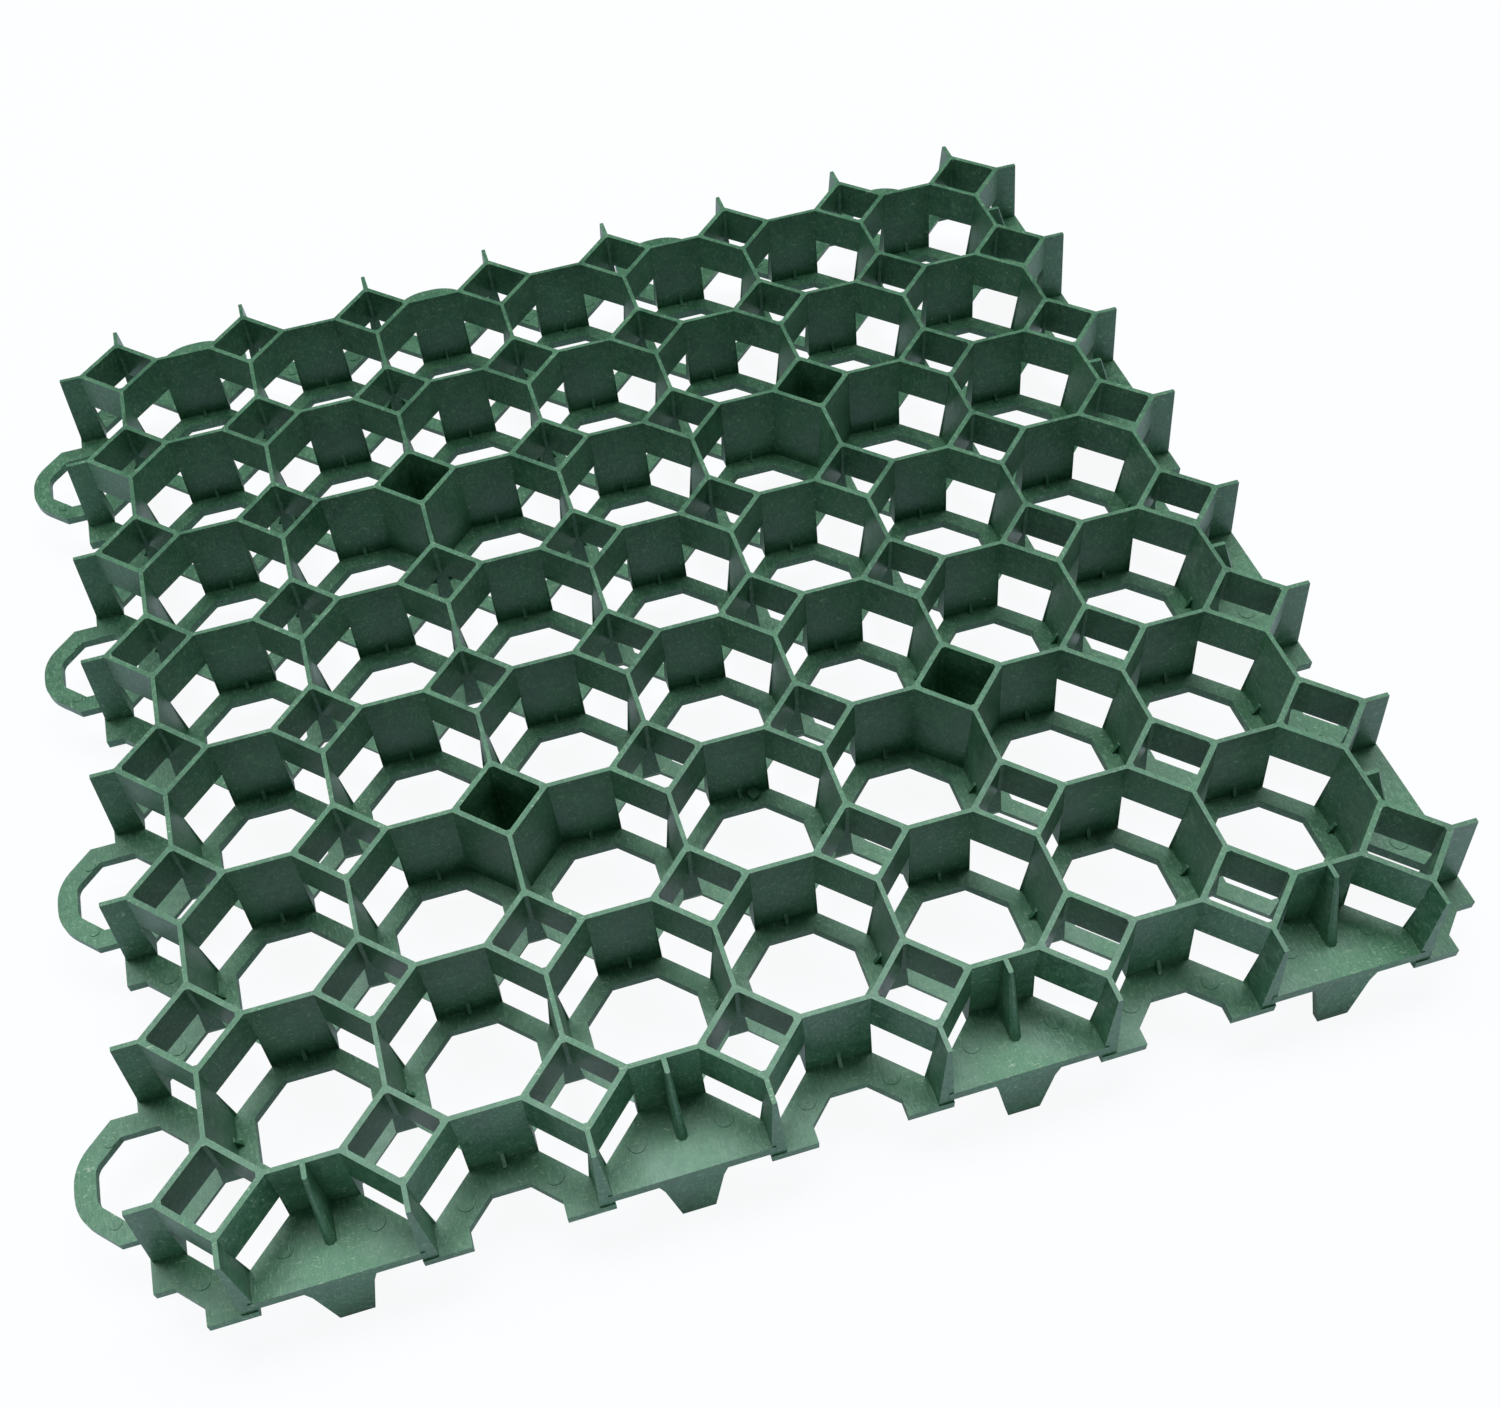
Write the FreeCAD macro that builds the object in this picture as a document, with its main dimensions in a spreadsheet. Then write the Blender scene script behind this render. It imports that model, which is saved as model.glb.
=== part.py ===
import FreeCAD, Part
import os
import Sketcher

# Grass paver grid, moulded in one piece. Lengths are millimetres.
# X runs along the front edge, Y to the back, and Z up from the floor that the spike tips stand on.
# The features are placed about the middle of the cells, and the whole grid is then moved so that
# the origin is the middle of its outline, loops included.

DIMENSIONS = {
    "cell_pitch": 62.5,
    "squares_along": 8,
    "spike_drop": 20,
    "ring_thick": 4,
    "wall_rise": 36,
    "beam_rise": 17,
    "wall_crest": 1.8,
    "wall_foot": 5.8,
    "side_lean": 2.8,
    "square_wall": 2.6,
    "square_corner": 1.6,
    "ring_hole": 42.6,
    "edge_hole": 33.4,
    "hole_flare": 1.2,
    "post_foot": 7.7,
    "post_head": 4,
    "recess_rise": 5,
    "fill_thick": 5,
    "fill_inset": 0.6,
    "gusset_crest_reach": 6.7,
    "gusset_crest_width": 1.8,
    "gusset_foot_reach": 18.4,
    "gusset_foot_width": 4.2,
    "tongue_root": 25,
    "tongue_waist": 21.5,
    "tongue_tip": 12.5,
    "tongue_thick": 3.5,
    "tongue_lean": 1.6,
    "loop_reach": 24.6,
    "loop_thick": 3.6,
    "loop_round": 20,
    "loop_hole_round": 6,
    "spike_root": 20,
    "spike_tip": 6,
    "socket_throat": 15,
    "socket_tip": 3,
    "socket_floor": 3,
}

FORMULAS = {
    "half_side": "=cell_pitch * squares_along / 2",
    "first_square": "=cell_pitch * (1 - squares_along) / 2",
    "centre_to_face": "=cell_pitch * (sqrt(2) - 1) / 2",
    "ring_top": "=spike_drop + ring_thick",
    "wall_top": "=ring_top + wall_rise",
    "beam_level": "=wall_top - beam_rise",
    "fill_level": "=spike_drop + recess_rise",
    "fill_top": "=fill_level + fill_thick",
    "wall_at_beam": "=wall_crest + (wall_foot - wall_crest) * beam_rise / wall_rise",
    "square_inside": "=2 * centre_to_face - square_wall",
    "edge_face": "=half_side - fill_inset",
    "edge_wall": "=half_side - cell_pitch / 2",
    "foot_reach": "=(cell_pitch - wall_foot) / 2",
    "crest_reach": "=(cell_pitch - wall_crest) / 2",
    "middle_shift": "=(loop_reach + fill_inset - tongue_lean) / 2",
}

# Turns the inradius of an octagon into half the length of its side
OCTAGON_SLOPE = "(sqrt(2) - 1)"

# Points nearer than this are one point
TOUCH = 0.001

# The squares that are closed below, counted from the first along each edge
SHUT_SQUARES = (2, 5)


def make_sheet(doc):
    sheet = doc.addObject("Spreadsheet::Sheet", "sizes")
    rows = list(DIMENSIONS.items()) + list(FORMULAS.items())
    for row, (name, value) in enumerate(rows, start=1):
        sheet.set(f"A{row}", name)
        sheet.set(f"B{row}", str(value))
        sheet.setAlias(f"B{row}", name)
    doc.recompute()
    return sheet


class Former:
    """A body about the origin that stands for one kind of hole or lump of the grid."""

    def __init__(self, sheet, name):
        self.sheet = sheet
        self.doc = sheet.Document
        self.body = self.doc.addObject("PartDesign::Body", name)

    def outline(self, corners, level):
        """A closed outline in a level plane, whose corners are pairs of formulas."""
        ground = next(item for item in self.body.Origin.OriginFeatures if item.Role == "XY_Plane")
        sketch = self.body.newObject("Sketcher::SketchObject", self.body.Name + "_outline")
        sketch.AttachmentSupport = [(ground, "")]
        sketch.MapMode = "FlatFace"
        sketch.setExpression("AttachmentOffset.Base.z", level)
        values = [[float(self.sheet.evalExpression(formula)) for formula in pair] for pair in corners]
        places = [FreeCAD.Vector(x, y, 0) for x, y in values]
        for start, end in zip(places, places[1:] + places[:1]):
            sketch.addGeometry(Part.LineSegment(start, end), False)
        for index in range(len(places)):
            after = (index + 1) % len(places)
            sketch.addConstraint(Sketcher.Constraint("Coincident", index, 2, after, 1))
        for index, pair in enumerate(corners):
            for axis, formula, value in zip("XY", pair, values[index]):
                made = sketch.addConstraint(Sketcher.Constraint("Distance" + axis, -1, 1, index, 1, value))
                sketch.renameConstraint(made, f"{axis}{index}")
                sketch.setExpression(f"Constraints.{axis}{index}", formula)
        return sketch

    def loft(self, *sections):
        feature = self.body.newObject("PartDesign::AdditiveLoft", self.body.Name + "_loft")
        feature.Profile = sections[0]
        feature.Sections = list(sections[1:])
        feature.Ruled = True
        return self.checked(feature)

    def pad(self, sketch, height):
        feature = self.body.newObject("PartDesign::Pad", self.body.Name + "_pad")
        feature.Profile = sketch
        feature.setExpression("Length", height)
        return self.checked(feature)

    def fillet(self, base, radius, chosen):
        """Rounds the edges that the test picks."""
        feature = self.body.newObject("PartDesign::Fillet", self.body.Name + "_rounds")
        names = [f"Edge{number}" for number, edge in enumerate(base.Shape.Edges, start=1) if chosen(edge)]
        feature.Base = (base, names)
        feature.setExpression("Radius", radius)
        return self.checked(feature)

    def checked(self, feature):
        self.doc.recompute()
        wrong = "Invalid" in feature.State or "Error" in feature.State
        if wrong or feature.Shape.isNull() or not feature.Shape.isValid():
            raise RuntimeError(f"{feature.Name} did not build: {feature.State}")
        return feature

    def solid(self):
        """The body's solid, with each sloping side as a true plane."""
        sides = Part.Compound([flat_side(side) for side in self.body.Shape.Faces])
        sides.sewShape()
        solid = Part.Solid(sides.Shells[0])
        if not solid.isValid() or solid.Volume < 0:
            raise RuntimeError(f"{self.body.Name} has unsound sides")
        return solid


def flat_side(side):
    """The plane face with the corners of a lofted side, or any other side as it is."""
    if side.Surface.TypeId != "Part::GeomBSplineSurface":
        return side
    corners = [vertex.Point for vertex in side.OuterWire.OrderedVertexes]
    return Part.Face(Part.makePolygon(corners + corners[:1]))


def octagon(inradius):
    """Corners of a regular octagon, with sides square to the axes."""
    far = f"({inradius})"
    near = f"{OCTAGON_SLOPE} * {far}"
    return [(far, "-" + near), (far, near), (near, far), ("-" + near, far),
            ("-" + far, near), ("-" + far, "-" + near), ("-" + near, "-" + far), (near, "-" + far)]


def diamond(inradius, cut):
    """Corners of a square turned by 45 degrees, whose corners are cut off to a length."""
    half = f"({cut}) / 2"
    tip = f"(sqrt(2) * ({inradius}) - {half})"
    return [(tip, "-" + half), (tip, half), (half, tip), ("-" + half, tip),
            ("-" + tip, half), ("-" + tip, "-" + half), ("-" + half, "-" + tip), (half, "-" + tip)]


def box(half_width, near, far):
    """A rectangle about the Y axis, between two distances in front of the X axis."""
    across = f"({half_width})"
    return [("-" + across, f"-({far})"), (across, f"-({far})"), (across, f"-({near})"), ("-" + across, f"-({near})")]


def nosed_box(width, near, far):
    """A strip about the Y axis from a near line forward to a nose that is half an octagon."""
    half = f"({width}) / 2"
    flat = f"{OCTAGON_SLOPE} * {half}"
    tip = f"-({far})"
    shoulder = f"{tip} + {half} - {flat}"
    return [("-" + flat, tip), (flat, tip), (half, shoulder), (half, f"-({near})"),
            ("-" + half, f"-({near})"), ("-" + half, shoulder)]


def half_octagon(inradius, base):
    """The back half of an octagon that stands on the front edge, closed by a base line."""
    far = f"({inradius})"
    near = f"{OCTAGON_SLOPE} * {far}"
    centre = "-sizes.half_side"
    return [("-" + far, f"-({base})"), (far, f"-({base})"), (far, f"{centre} + {near}"),
            (near, f"{centre} + {far}"), ("-" + near, f"{centre} + {far}"), ("-" + far, f"{centre} + {near}")]


def make_block(sheet):
    """The plate, and on it the block that the cells are cut from."""
    plate = Former(sheet, "plate")
    side = "sizes.half_side"
    plate.pad(plate.outline(box(side, "-" + side, side), "sizes.spike_drop"), "sizes.ring_thick")
    foot = "sizes.edge_face"
    crest = "(sizes.half_side - sizes.side_lean)"
    low = plate.outline(box(foot, "-" + foot, foot), "sizes.ring_top")
    high = plate.outline(box(crest, "-" + crest, crest), "sizes.wall_top")
    plate.loft(low, high)
    return plate.solid()


def make_cell(sheet):
    """An octagonal cell above the plate, drafted so that the walls thicken to their feet."""
    cell = Former(sheet, "cell")
    low = cell.outline(octagon("sizes.foot_reach"), "sizes.ring_top")
    high = cell.outline(octagon("sizes.crest_reach"), "sizes.wall_top")
    cell.loft(low, high)
    return cell.solid()


def make_plate_hole(sheet, name, width):
    """An octagonal hole through the plate."""
    hole = Former(sheet, name)
    hole.pad(hole.outline(octagon(f"{width} / 2"), "sizes.spike_drop"), "sizes.ring_thick")
    return hole.solid()


def make_loop(sheet):
    """A flat loop that reaches forward from the front edge, before its hole is cut."""
    loop = Former(sheet, "loop")
    far = "sizes.loop_reach"
    near = f"{OCTAGON_SLOPE} * {far}"
    edge = "-sizes.half_side"
    corners = [("-" + far, f"{edge} + sizes.ring_thick"), ("-" + far, f"{edge} - {near}"),
               ("-" + near, f"{edge} - {far}"), (near, f"{edge} - {far}"),
               (far, f"{edge} - {near}"), (far, f"{edge} + sizes.ring_thick")]
    flat = loop.pad(loop.outline(corners, "sizes.spike_drop"), "sizes.loop_thick")
    loop.fillet(flat, "sizes.loop_round", is_foremost(flat))
    return loop.solid()


def make_loop_hole(sheet):
    """The hole of a loop, an octagon whose two foremost corners are rounded."""
    hole = Former(sheet, "loop_hole")
    straight = hole.pad(hole.outline(octagon("sizes.edge_hole / 2"), "sizes.spike_drop"), "sizes.ring_thick")
    hole.fillet(straight, "sizes.loop_hole_round", is_foremost(straight))
    return hole.solid()


def is_foremost(feature):
    """A test for the upright edges at the very front of a feature."""
    front = feature.Shape.BoundBox.YMin

    def test(edge):
        return all(abs(vertex.Y - front) < TOUCH for vertex in edge.Vertexes) and is_upright(edge)

    return test


def is_upright(edge):
    return abs(edge.BoundBox.XLength) < TOUCH


def make_recess(sheet):
    """The half cell of the front edge where the ring is left out."""
    recess = Former(sheet, "recess")
    plan = recess.outline(half_octagon("sizes.foot_reach", "sizes.half_side + sizes.fill_inset"), "sizes.spike_drop")
    recess.pad(plan, "sizes.ring_thick")
    return recess.solid()


def make_fill(sheet):
    """The plate that fills the half cell, raised to lie over a neighbour's loop."""
    fill = Former(sheet, "fill")
    plan = fill.outline(half_octagon("sizes.crest_reach", "sizes.edge_face"), "sizes.fill_level")
    fill.pad(plan, "sizes.fill_thick")
    return fill.solid()


def make_gusset(sheet):
    """The tall gusset between a filled half cell and the wall behind it."""
    gusset = Former(sheet, "gusset")
    wall = "sizes.edge_wall"
    low = gusset.outline(nosed_box("sizes.gusset_foot_width", wall, wall + " + sizes.gusset_foot_reach"),
                         "sizes.fill_top")
    high = gusset.outline(nosed_box("sizes.gusset_crest_width", wall, wall + " + sizes.gusset_crest_reach"),
                          "sizes.wall_top")
    gusset.loft(low, high)
    return gusset.solid()


def make_tongue(sheet):
    """The tongue under a filled half cell, that drops through a neighbour's loop into the soil."""
    tongue = Former(sheet, "tongue")
    levels = (("sizes.tongue_tip", "sizes.edge_face + sizes.tongue_lean", "0"),
              ("sizes.tongue_waist", "sizes.edge_face", "sizes.spike_drop"),
              ("sizes.tongue_root", "sizes.edge_face", "sizes.fill_level"))
    tongue.loft(*[tongue.outline(box(f"{width} / 2", f"{face} - sizes.tongue_thick", face), level)
                  for width, face, level in levels])
    return tongue.solid()


def make_chamber(sheet):
    """The lower part of a square cell, which opens the windows and the hole in the plate."""
    chamber = Former(sheet, "chamber")
    foot = "sizes.centre_to_face + sizes.wall_foot / 2"
    beam = "sizes.centre_to_face + sizes.wall_at_beam / 2"
    levels = ((f"{foot} + sizes.hole_flare", "sizes.post_foot", "sizes.spike_drop"),
              (foot, "sizes.post_foot", "sizes.ring_top"),
              (beam, "sizes.post_head", "sizes.beam_level"))
    chamber.loft(*[chamber.outline(diamond(reach, cut), level) for reach, cut, level in levels])
    return chamber.solid()


def make_throat(sheet):
    """The straight upper part of a square cell."""
    throat = Former(sheet, "throat")
    plan = throat.outline(diamond("sizes.square_inside / 2", "sizes.square_corner"), "sizes.beam_level")
    throat.pad(plan, "sizes.beam_rise")
    return throat.solid()


def make_spike(sheet):
    """The spike below a closed square."""
    spike = Former(sheet, "spike")
    low = spike.outline(diamond("sizes.spike_tip / 2", "sizes.square_corner"), "0")
    high = spike.outline(diamond("sizes.spike_root / 2", "sizes.square_corner"), "sizes.spike_drop")
    spike.loft(low, high)
    return spike.solid()


def make_socket(sheet):
    """The hollow that narrows from a closed square down into its spike."""
    socket = Former(sheet, "socket")
    levels = (("sizes.socket_tip / 2", "sizes.socket_floor"), ("sizes.socket_throat / 2", "sizes.spike_drop"),
              ("sizes.square_inside / 2", "sizes.beam_level"))
    socket.loft(*[socket.outline(diamond(reach, "sizes.square_corner / 2"), level) for reach, level in levels])
    return socket.solid()


def spread(shape, places):
    """Copies of a shape, moved to each place."""
    return [shape.translated(FreeCAD.Vector(x, y, 0)) for x, y in places]


def turned(shape, quarter_turns):
    """A shape turned about the middle of the grid."""
    return shape.rotated(FreeCAD.Vector(0, 0, 0), FreeCAD.Vector(0, 0, 1), 90 * quarter_turns)


def shape_grid(sheet):
    """Cuts and joins every repeated feature of the grid."""
    pitch = sheet.cell_pitch
    squares = int(sheet.squares_along)
    cells = [number * pitch - sheet.half_side for number in range(squares + 1)]
    inner, closed_ends, open_ends = cells[1:-1], cells[1::2], cells[0::2]
    middles = [number * pitch + sheet.first_square for number in range(squares)]
    shut = [(middles[i], middles[j]) for i in SHUT_SQUARES for j in SHUT_SQUARES]
    every_square = [(x, y) for x in middles for y in middles]

    shape = make_block(sheet)
    shape = shape.cut(spread(make_cell(sheet), [(x, y) for x in cells for y in cells])
                      + spread(make_plate_hole(sheet, "ring_hole", "sizes.ring_hole"),
                               [(x, y) for x in inner for y in inner]))

    loops = spread(make_loop(sheet), [(x, 0) for x in closed_ends])
    shape = shape.fuse([turned(loop, turn) for loop in loops for turn in (2, 3)])

    notches = {(x, y) for x in open_ends for y in (cells[0], cells[-1])}
    notches |= {(y, x) for x, y in notches}
    loop_holes = spread(make_loop_hole(sheet), [(x, cells[0]) for x in closed_ends])
    recesses = spread(make_recess(sheet), [(x, 0) for x in closed_ends])
    shape = shape.cut(spread(make_plate_hole(sheet, "edge_hole", "sizes.edge_hole"), sorted(notches))
                      + [turned(hole, turn) for hole in loop_holes for turn in (2, 3)]
                      + [turned(recess, turn) for recess in recesses for turn in (0, 1)])

    lumps = [make(sheet) for make in (make_fill, make_gusset, make_tongue)]
    front = [lump for kind in lumps for lump in spread(kind, [(x, 0) for x in closed_ends])]
    shape = shape.fuse([turned(lump, turn) for lump in front for turn in (0, 1)]
                       + spread(make_spike(sheet), shut))

    return shape.cut(spread(make_chamber(sheet), [place for place in every_square if place not in shut])
                     + spread(make_throat(sheet), every_square)
                     + spread(make_socket(sheet), shut)).removeSplitter()


def main():
    doc = FreeCAD.newDocument("paver_grid")
    sheet = make_sheet(doc)
    shape = shape_grid(sheet)
    if len(shape.Solids) != 1 or not shape.isValid():
        raise RuntimeError(f"the grid is {len(shape.Solids)} solids, sound: {shape.isValid()}")
    grid = doc.addObject("Part::Feature", "paver_grid")
    grid.Label = "paver_grid"
    grid.Shape = shape.Solids[0]
    grid.Placement = FreeCAD.Placement(FreeCAD.Vector(sheet.middle_shift, -sheet.middle_shift, 0),
                                       FreeCAD.Rotation())
    doc.recompute()
    os.makedirs("parts", exist_ok=True)
    grid.Shape.exportStep("parts/paver_grid.step")
    print("volume", round(grid.Shape.Volume), "faces", len(grid.Shape.Faces))


main()
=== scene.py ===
import math

import bmesh
import bpy
from mathutils import Euler, Matrix, Vector


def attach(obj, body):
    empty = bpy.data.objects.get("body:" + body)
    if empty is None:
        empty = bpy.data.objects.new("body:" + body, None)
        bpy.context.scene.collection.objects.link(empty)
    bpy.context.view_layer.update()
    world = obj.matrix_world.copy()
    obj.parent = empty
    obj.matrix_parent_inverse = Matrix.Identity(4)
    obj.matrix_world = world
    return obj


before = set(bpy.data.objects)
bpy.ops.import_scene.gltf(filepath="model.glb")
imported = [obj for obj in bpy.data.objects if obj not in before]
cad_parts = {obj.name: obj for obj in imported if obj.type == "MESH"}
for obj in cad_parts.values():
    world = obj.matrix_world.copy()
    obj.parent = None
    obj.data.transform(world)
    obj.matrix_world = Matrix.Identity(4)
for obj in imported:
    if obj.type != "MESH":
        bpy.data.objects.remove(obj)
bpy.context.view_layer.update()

MM = 0.001

# Sizes of the grid, as they are built
PITCH = 62.5 * MM
SQUARES = 8
HALF_SIDE = PITCH * SQUARES / 2
MIDDLE = Vector((11.8 * MM, -11.8 * MM, 0.0))
RING_TOP = 24 * MM
FILL_TOP = 30 * MM
LOOP_TOP = 23.6 * MM
WALL_FOOT = 5.8 * MM
WALL_CREST = 1.8 * MM

# How deep the added relief reaches into the plate that it stands on
SINK = 0.2 * MM

# Short ribs that stiffen each wall at its foot
RIB_REACH = 5.4 * MM
RIB_REACH_AT_EDGE = 6.6 * MM
RIB_RISE = 5.2 * MM
RIB_SHOULDER_RISE = 4.68 * MM
RIB_TIP_RISE = 1.1 * MM
RIB_WIDTH = 1.5 * MM

# Ejector marks: shallow raised discs on the outer plates and the loops, and one taller stub
MARK_SPREAD = 16 * MM
MARK_INSET = 16.4 * MM
MARK_RADIUS = 3.5 * MM
LOOP_MARK_OUTSET = 11 * MM
LOOP_MARK_RADIUS = 2.5 * MM
MARK_RISE = 0.3 * MM
MARK_CHAMFER = 0.15 * MM
STUB_PLACE = Vector((5.5 * MM, -99 * MM, 24 * MM))
STUB_RADIUS = 2.5 * MM
STUB_RISE = 2.5 * MM
ROUND_FACETS = 32

# Colours of the plastic, from the darkest to the palest
GAP_GREEN = (0.012, 0.055, 0.026, 1.0)
DEEP_GREEN = (0.0145, 0.080, 0.037, 1.0)
BODY_GREEN = (0.037, 0.142, 0.070, 1.0)
BLOTCH_GREEN = (0.092, 0.217, 0.121, 1.0)
STREAK_GREEN = (0.22, 0.39, 0.26, 1.0)
FLECK_CREAM = (0.46, 0.58, 0.42, 1.0)
SPECK_CREAM = (0.48, 0.60, 0.48, 1.0)
GLOSS_TINT = (0.72, 1.0, 0.88, 1.0)

# The backdrop: its own light as the eye sees it, and what it gives to the object
WHITE = (1.0, 1.0, 1.0, 1.0)
FLOOR_WHITE = (0.985, 0.995, 1.0, 1.0)
FLOOR_UNDER_LIGHT = (0.80, 0.85, 1.0, 1.0)
FLOOR_REACH = 6.0
FLOOR_OWN_SHARE = 0.94
MIRRORED_SHARE = 0.15
SURROUND_COLOUR = (0.82, 0.95, 1.0, 1.0)
SURROUND_STRENGTH = 0.13

# Lamps: their place, what they point at, their width and depth, and their power in watts
BACK_LAMP = ((0.1, 0.65, 2.3), (0.0, -0.1, 0.0), (2.7, 1.2), 72.0)
FRONT_LAMP = ((-0.25, -1.25, 0.6), (-0.05, -0.25, 0.0), (1.4, 0.5), 2.3)

# The camera at the photograph's angle, turned in degrees
CAMERA_PLACE = (-0.0773, -0.4876, 0.5687)
CAMERA_TURN = (36.501, 3.244, -16.290)
CAMERA_SHIFT = (0.0237, 0.0412)
CAMERA_LENS = 39.348
CAMERA_SENSOR = 36.0
CAMERA_NEAREST = 0.01


class Value:
    """A shader socket that can be used in sums."""

    def __init__(self, nodes, socket):
        self.nodes = nodes
        self.socket = socket

    def combine(self, operation, other, swapped=False):
        node = self.nodes.tree.nodes.new("ShaderNodeMath")
        node.operation = operation
        inputs = (other, self) if swapped else (self, other)
        for number, item in enumerate(inputs):
            self.nodes.feed(node.inputs[number], item)
        return Value(self.nodes, node.outputs[0])

    def __add__(self, other):
        return self.combine("ADD", other)

    def __radd__(self, other):
        return self.combine("ADD", other, swapped=True)

    def __mul__(self, other):
        return self.combine("MULTIPLY", other)

    def __rmul__(self, other):
        return self.combine("MULTIPLY", other, swapped=True)


class Shader:
    """The nodes of one material, or of the world round the object."""

    def __init__(self, name, world=False):
        self.material = (bpy.data.worlds if world else bpy.data.materials).new(name)
        self.material.use_nodes = True
        self.tree = self.material.node_tree
        self.surface = self.tree.nodes["Background" if world else "Principled BSDF"]
        self.end = self.tree.nodes["World Output" if world else "Material Output"]

    def feed(self, socket, item):
        if isinstance(item, Value):
            self.tree.links.new(item.socket, socket)
        else:
            socket.default_value = item

    def node(self, kind, settings=None, output=0, **inputs):
        """Adds a node and gives back one of its outputs."""
        made = self.tree.nodes.new(kind)
        for name, value in (settings or {}).items():
            setattr(made, name, value)
        for name, item in inputs.items():
            self.feed(made.inputs[name.replace("_", " ")], item)
        return Value(self, made.outputs[output])

    def place(self, scale=(1.0, 1.0, 1.0), turn=(0.0, 0.0, 0.0)):
        """The place on the object, in metres times the scale."""
        here = self.node("ShaderNodeTexCoord", output="Object")
        return self.node("ShaderNodeMapping", Vector=here, Scale=scale, Rotation=turn)

    def noise(self, where, scale, detail, roughness, distortion=0.0):
        return self.node("ShaderNodeTexNoise", Vector=where, Scale=scale, Detail=detail,
                         Roughness=roughness, Distortion=distortion)

    def cells(self, where, scale):
        """How far each place is from the nearest of many scattered points."""
        return self.node("ShaderNodeTexVoronoi", {"feature": "F1"}, output="Distance",
                         Vector=where, Scale=scale, Randomness=1.0)

    def ramp(self, value, low, high, start=0.0, end=1.0):
        """Maps a value from between two limits to another range."""
        return self.node("ShaderNodeMapRange", {"clamp": True}, Value=value, From_Min=low,
                         From_Max=high, To_Min=start, To_Max=end)

    def mix(self, amount, first, second):
        """A blend of two colours."""
        made = self.tree.nodes.new("ShaderNodeMix")
        made.data_type = "RGBA"
        colours = [socket for socket in made.inputs if socket.type == "RGBA"]
        self.feed(made.inputs[0], amount)
        self.feed(colours[0], first)
        self.feed(colours[1], second)
        return Value(self, next(socket for socket in made.outputs if socket.type == "RGBA"))

    def bump(self, height, strength, distance):
        return self.node("ShaderNodeBump", Height=height, Strength=strength, Distance=distance)

    def show_own_light(self, own, share):
        """Lets the eye see a backdrop's own light, straight on, through glass or mirrored."""
        straight = self.node("ShaderNodeLightPath", output="Is Camera Ray")
        through = self.node("ShaderNodeLightPath", output="Is Transmission Ray")
        mirrored = self.node("ShaderNodeLightPath", output="Is Glossy Ray")
        amount = share * (straight + through) + MIRRORED_SHARE * mirrored
        plain = Value(self, self.surface.outputs[0])
        both = self.node("ShaderNodeMixShader")
        for number, item in enumerate((amount, plain, own)):
            self.feed(both.socket.node.inputs[number], item)
        self.feed(self.end.inputs["Surface"], both)

    def finish(self, constants, **linked):
        """Sets fixed numbers on the surface and links what varies."""
        for name, value in constants.items():
            self.surface.inputs[name].default_value = value
        for name, item in linked.items():
            self.feed(self.surface.inputs[name.replace("_", " ")], item)
        return self.material


def make_green_plastic():
    """Recycled bottle green plastic: clouded, with fine pale flow streaks, flecks and specks."""
    shader = Shader("green_plastic")
    here = shader.place()
    along = shader.place(scale=(1.0, 0.30, 0.5), turn=(0.0, 0.0, 0.25))
    across = shader.place(scale=(0.3, 1.0, 0.6), turn=(0.0, 0.0, 0.5))
    clouds = shader.noise(here, 45.0, detail=3.0, roughness=0.6)
    blotches = shader.noise(here, 260.0, detail=3.0, roughness=0.6, distortion=0.8)
    streaks = shader.noise(along, 1000.0, detail=3.0, roughness=0.7, distortion=0.4)
    flecks = shader.noise(across, 1300.0, detail=2.0, roughness=0.5, distortion=1.5)
    specks = shader.cells(here, 420.0)

    cloud = shader.ramp(clouds, 0.35, 0.65)
    blotch = shader.ramp(blotches, 0.4, 0.7)
    gap = shader.ramp(streaks, 0.32, 0.46, start=1.0, end=0.0)
    streak = shader.ramp(streaks, 0.54, 0.72)
    fleck = shader.ramp(flecks, 0.62, 0.72) * shader.ramp(clouds, 0.42, 0.62, start=0.25)
    speck = shader.ramp(specks, 0.02, 0.13, start=1.0, end=0.0)

    colour = shader.mix(cloud, DEEP_GREEN, BODY_GREEN)
    colour = shader.mix(blotch * 0.4, colour, BLOTCH_GREEN)
    colour = shader.mix(gap * 0.35, colour, GAP_GREEN)
    colour = shader.mix(streak * 0.5, colour, STREAK_GREEN)
    colour = shader.mix(fleck * 0.6, colour, FLECK_CREAM)
    colour = shader.mix(speck * 0.35, colour, SPECK_CREAM)
    roughness = 0.36 + 0.12 * cloud + 0.10 * streak
    normal = shader.bump(blotches * 0.5 + streaks * 0.5, strength=0.6, distance=0.3 * MM)
    return shader.finish({"IOR": 1.5, "Specular IOR Level": 0.7, "Specular Tint": GLOSS_TINT},
                         Base_Color=colour, Roughness=roughness, Normal=normal)


def make_floor_finish():
    """White, and mostly of its own light to the eye, so that shadows stay faint."""
    shader = Shader("floor_white")
    own = shader.node("ShaderNodeEmission", Color=FLOOR_WHITE, Strength=1.0)
    shader.show_own_light(own, FLOOR_OWN_SHARE)
    return shader.finish({"Base Color": FLOOR_UNDER_LIGHT, "Roughness": 0.8,
                          "Specular IOR Level": 0.2})


def make_surround():
    """White to the eye, with a faint even light of its own on the object."""
    shader = Shader("studio", world=True)
    own = shader.node("ShaderNodeBackground", Color=WHITE, Strength=1.0)
    shader.show_own_light(own, 1.0)
    return shader.finish({"Color": SURROUND_COLOUR, "Strength": SURROUND_STRENGTH})


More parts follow.
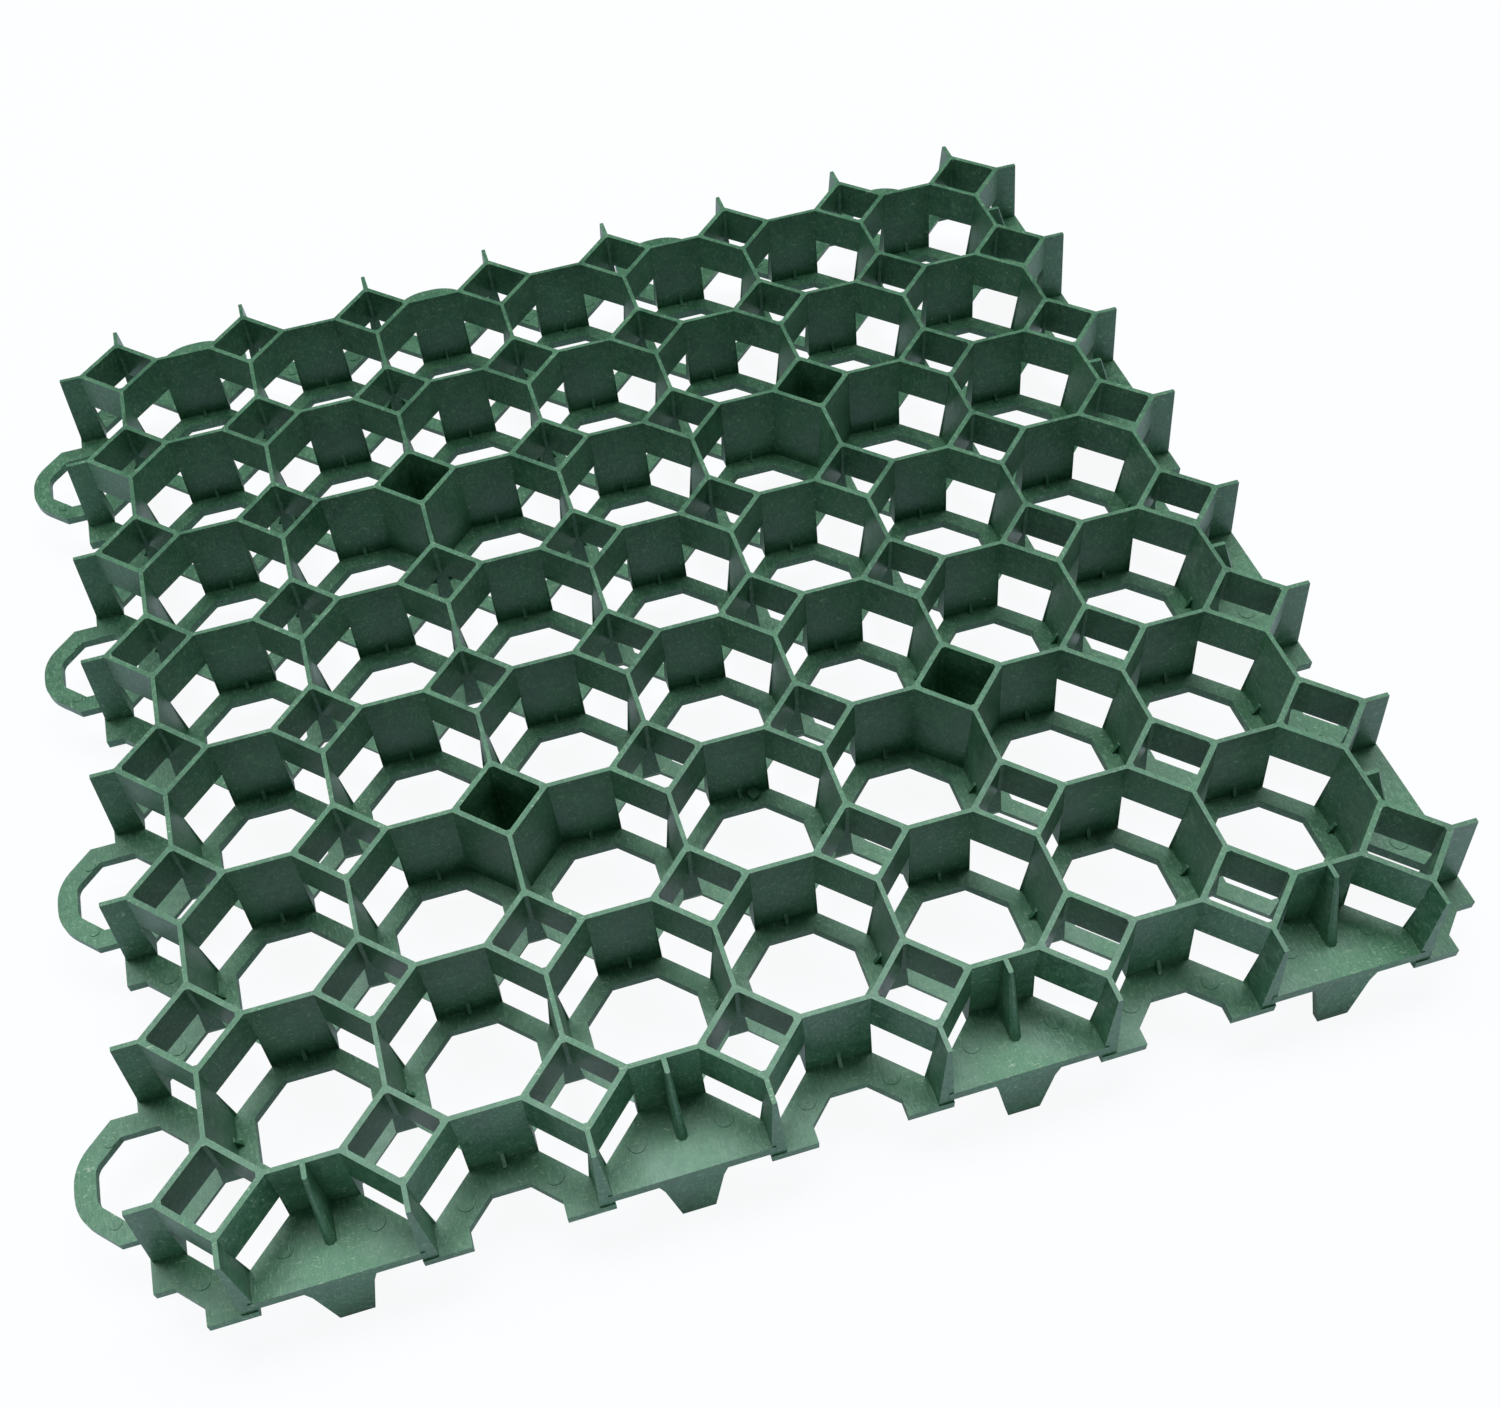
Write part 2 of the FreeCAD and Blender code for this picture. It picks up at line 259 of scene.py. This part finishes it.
def add_mesh(name, build, material):
    """A piece of the grid whose mesh a function fills in."""
    mesh = bpy.data.meshes.new(name)
    shape = bmesh.new()
    build(shape)
    bmesh.ops.recalc_face_normals(shape, faces=shape.faces)
    shape.to_mesh(mesh)
    shape.free()
    mesh.materials.append(material)
    piece = bpy.data.objects.new(name, mesh)
    bpy.context.scene.collection.objects.link(piece)
    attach(piece, "root")


def cell_line(number):
    """Where the cells' middles stand along an edge, from the corner at 0 to the other at 8."""
    return PITCH * number - HALF_SIDE


def wall_middles():
    """The middle of each straight wall between two whole or half cells, and the way across it."""
    for step in range(SQUARES):
        for line in range(1, SQUARES):
            across = cell_line(step) + PITCH / 2
            yield Vector((across, cell_line(line), 0.0)), Vector((1.0, 0.0, 0.0))
            yield Vector((cell_line(line), across, 0.0)), Vector((0.0, 1.0, 0.0))


def is_gusset_side(ahead):
    """True where the cell ahead is a filled half cell, with a gusset in place of the rib."""
    front = abs(ahead.y + HALF_SIDE) < MM
    right = abs(ahead.x - HALF_SIDE) < MM
    along = ahead.x if front else ahead.y
    return (front or right) and round((along + HALF_SIDE) / PITCH) % 2 == 1


def build_ribs(shape):
    """Two ribs to each wall, one on either side."""
    for middle, across in wall_middles():
        for way in (across, -across):
            ahead = middle + way * PITCH / 2
            if is_gusset_side(ahead):
                continue
            at_edge = max(abs(ahead.x), abs(ahead.y)) > HALF_SIDE - MM
            add_rib(shape, MIDDLE + middle, way, RIB_REACH_AT_EDGE if at_edge else RIB_REACH)


def add_rib(shape, middle, way, reach):
    """A rib with a sloping back, from inside the wall's foot out along the ring."""
    root, foot, bevel = WALL_CREST / 2, WALL_FOOT / 2, RIB_TIP_RISE / 2
    profile = ((root, -SINK), (reach, -SINK), (reach, bevel), (reach - bevel, RIB_TIP_RISE),
               (foot, RIB_SHOULDER_RISE), (root, RIB_RISE))
    beside = Vector((-way.y, way.x, 0.0)) * RIB_WIDTH / 2
    sides = [[shape.verts.new(middle + way * out + edge + Vector((0.0, 0.0, RING_TOP + up)))
              for out, up in profile] for edge in (beside, -beside)]
    shape.faces.new(sides[0])
    shape.faces.new(reversed(sides[1]))
    for index in range(len(profile)):
        near, far = (side[index] for side in sides)
        near_before, far_before = (side[index - 1] for side in sides)
        shape.faces.new((near_before, near, far, far_before))


def add_disc(shape, place, radius, rise):
    """A low round boss that stands on a plate."""
    depth = rise + SINK
    middle = place + Vector((0.0, 0.0, rise - depth / 2))
    bmesh.ops.create_cone(shape, cap_ends=True, segments=ROUND_FACETS, radius1=radius,
                          radius2=radius - MARK_CHAMFER, depth=depth,
                          matrix=Matrix.Translation(middle))


def build_marks(shape):
    """Marks in pairs along each side, front, right, back and left, and one at each corner."""
    for side in range(4):
        turn = Matrix.Rotation(math.radians(90 * side), 3, "Z")
        corner = Vector((MARK_INSET - HALF_SIDE, MARK_INSET - HALF_SIDE, RING_TOP))
        add_disc(shape, MIDDLE + turn @ corner, MARK_RADIUS, MARK_RISE)
        for number in range(1, SQUARES):
            inset, level, radius = MARK_INSET, RING_TOP, MARK_RADIUS
            if number % 2 == 1 and side < 2:
                level = FILL_TOP
            elif number % 2 == 1:
                inset, level, radius = -LOOP_MARK_OUTSET, LOOP_TOP, LOOP_MARK_RADIUS
            for spread in (MARK_SPREAD, -MARK_SPREAD):
                place = Vector((cell_line(number) + spread, inset - HALF_SIDE, level))
                add_disc(shape, MIDDLE + turn @ place, radius, MARK_RISE)
    add_disc(shape, MIDDLE + STUB_PLACE, STUB_RADIUS, STUB_RISE)


def add_area_light(name, place, target, size, power):
    data = bpy.data.lights.new(name, "AREA")
    data.shape = "RECTANGLE"
    data.size, data.size_y = size
    data.energy = power
    light = bpy.data.objects.new(name, data)
    light.location = place
    light.rotation_euler = (Vector(target) - Vector(place)).to_track_quat("-Z", "Y").to_euler()
    bpy.context.scene.collection.objects.link(light)


def add_studio():
    """A white floor, an even white surround, soft light from above and behind, and a faint fill."""
    mesh = bpy.data.meshes.new("floor")
    ways = ((-1, -1), (1, -1), (1, 1), (-1, 1))
    mesh.from_pydata([(x * FLOOR_REACH, y * FLOOR_REACH, 0.0) for x, y in ways], [], [(0, 1, 2, 3)])
    mesh.materials.append(make_floor_finish())
    floor = bpy.data.objects.new("floor", mesh)
    bpy.context.scene.collection.objects.link(floor)
    bpy.context.scene.world = make_surround()
    add_area_light("back_light", *BACK_LAMP)
    add_area_light("front_light", *FRONT_LAMP)


def add_camera():
    data = bpy.data.cameras.new("camera")
    data.lens = CAMERA_LENS
    data.sensor_width = CAMERA_SENSOR
    data.shift_x, data.shift_y = CAMERA_SHIFT
    data.clip_start = CAMERA_NEAREST
    camera = bpy.data.objects.new("camera", data)
    camera.location = CAMERA_PLACE
    camera.rotation_euler = Euler([math.radians(angle) for angle in CAMERA_TURN])
    bpy.context.scene.collection.objects.link(camera)
    bpy.context.scene.camera = camera


plastic = make_green_plastic()
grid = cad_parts["paver_grid"]
grid.material_slots[0].material = plastic
add_mesh("wall_foot_ribs", build_ribs, plastic)
add_mesh("ejector_marks", build_marks, plastic)
add_studio()
add_camera()
bpy.context.scene.view_settings.view_transform = "Standard"
